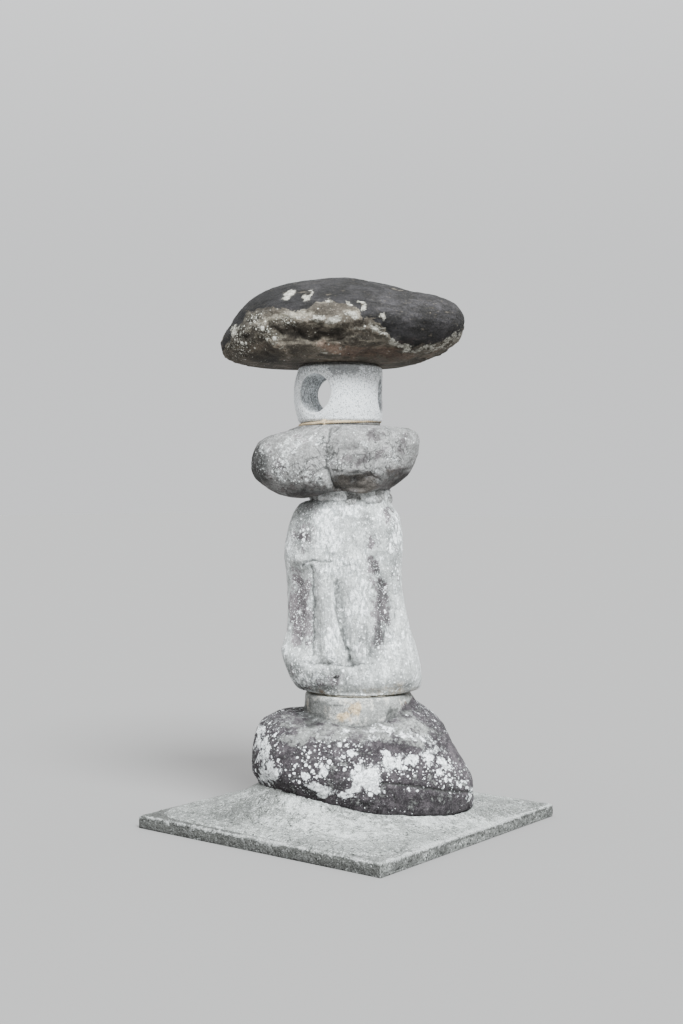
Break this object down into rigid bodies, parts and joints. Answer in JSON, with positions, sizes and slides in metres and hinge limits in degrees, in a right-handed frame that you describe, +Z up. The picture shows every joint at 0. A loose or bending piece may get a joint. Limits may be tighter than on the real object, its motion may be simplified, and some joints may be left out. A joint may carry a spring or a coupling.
{
  "type": "stone lantern",
  "caption": "Garden lantern of natural rocks stacked on a square concrete slab, with a carved light chamber that has round windows.",
  "frame": {"origin": "centre of the slab's underside, on the ground", "axes": "+Z up; +X and +Y along the slab's sides; the chamber's front window faces -Y"},
  "size_m": [1.3, 1.3, 2.3731],
  "materials": {
    "concrete": "rough cast concrete",
    "mortar": "rough mortar",
    "dark_rock": "weathered dark rock with lichen",
    "pale_rock": "weathered pale rock with crust lichen",
    "grey_rock": "weathered grey rock",
    "granite": "bush hammered granite",
    "straw": "twisted straw"
  },
  "bodies": {
    "root": {"concrete_slab": "concrete", "mortar_mound": "mortar", "base_stone": "dark_rock", "shaft_bed_mortar": "mortar", "shaft_stone": "pale_rock", "packing_mortar": "mortar", "packing_stone_1": "grey_rock", "packing_stone_2": "grey_rock", "packing_stone_3": "grey_rock", "packing_stone_4": "grey_rock", "packing_stone_5": "grey_rock", "packing_stone_6": "grey_rock", "platform_stone": "grey_rock", "chamber_bed_mortar": "mortar", "light_chamber": "granite", "straw_rope": "straw", "cap_bed_mortar": "mortar", "cap_stone": "dark_rock"}
  },
  "joints": []
}
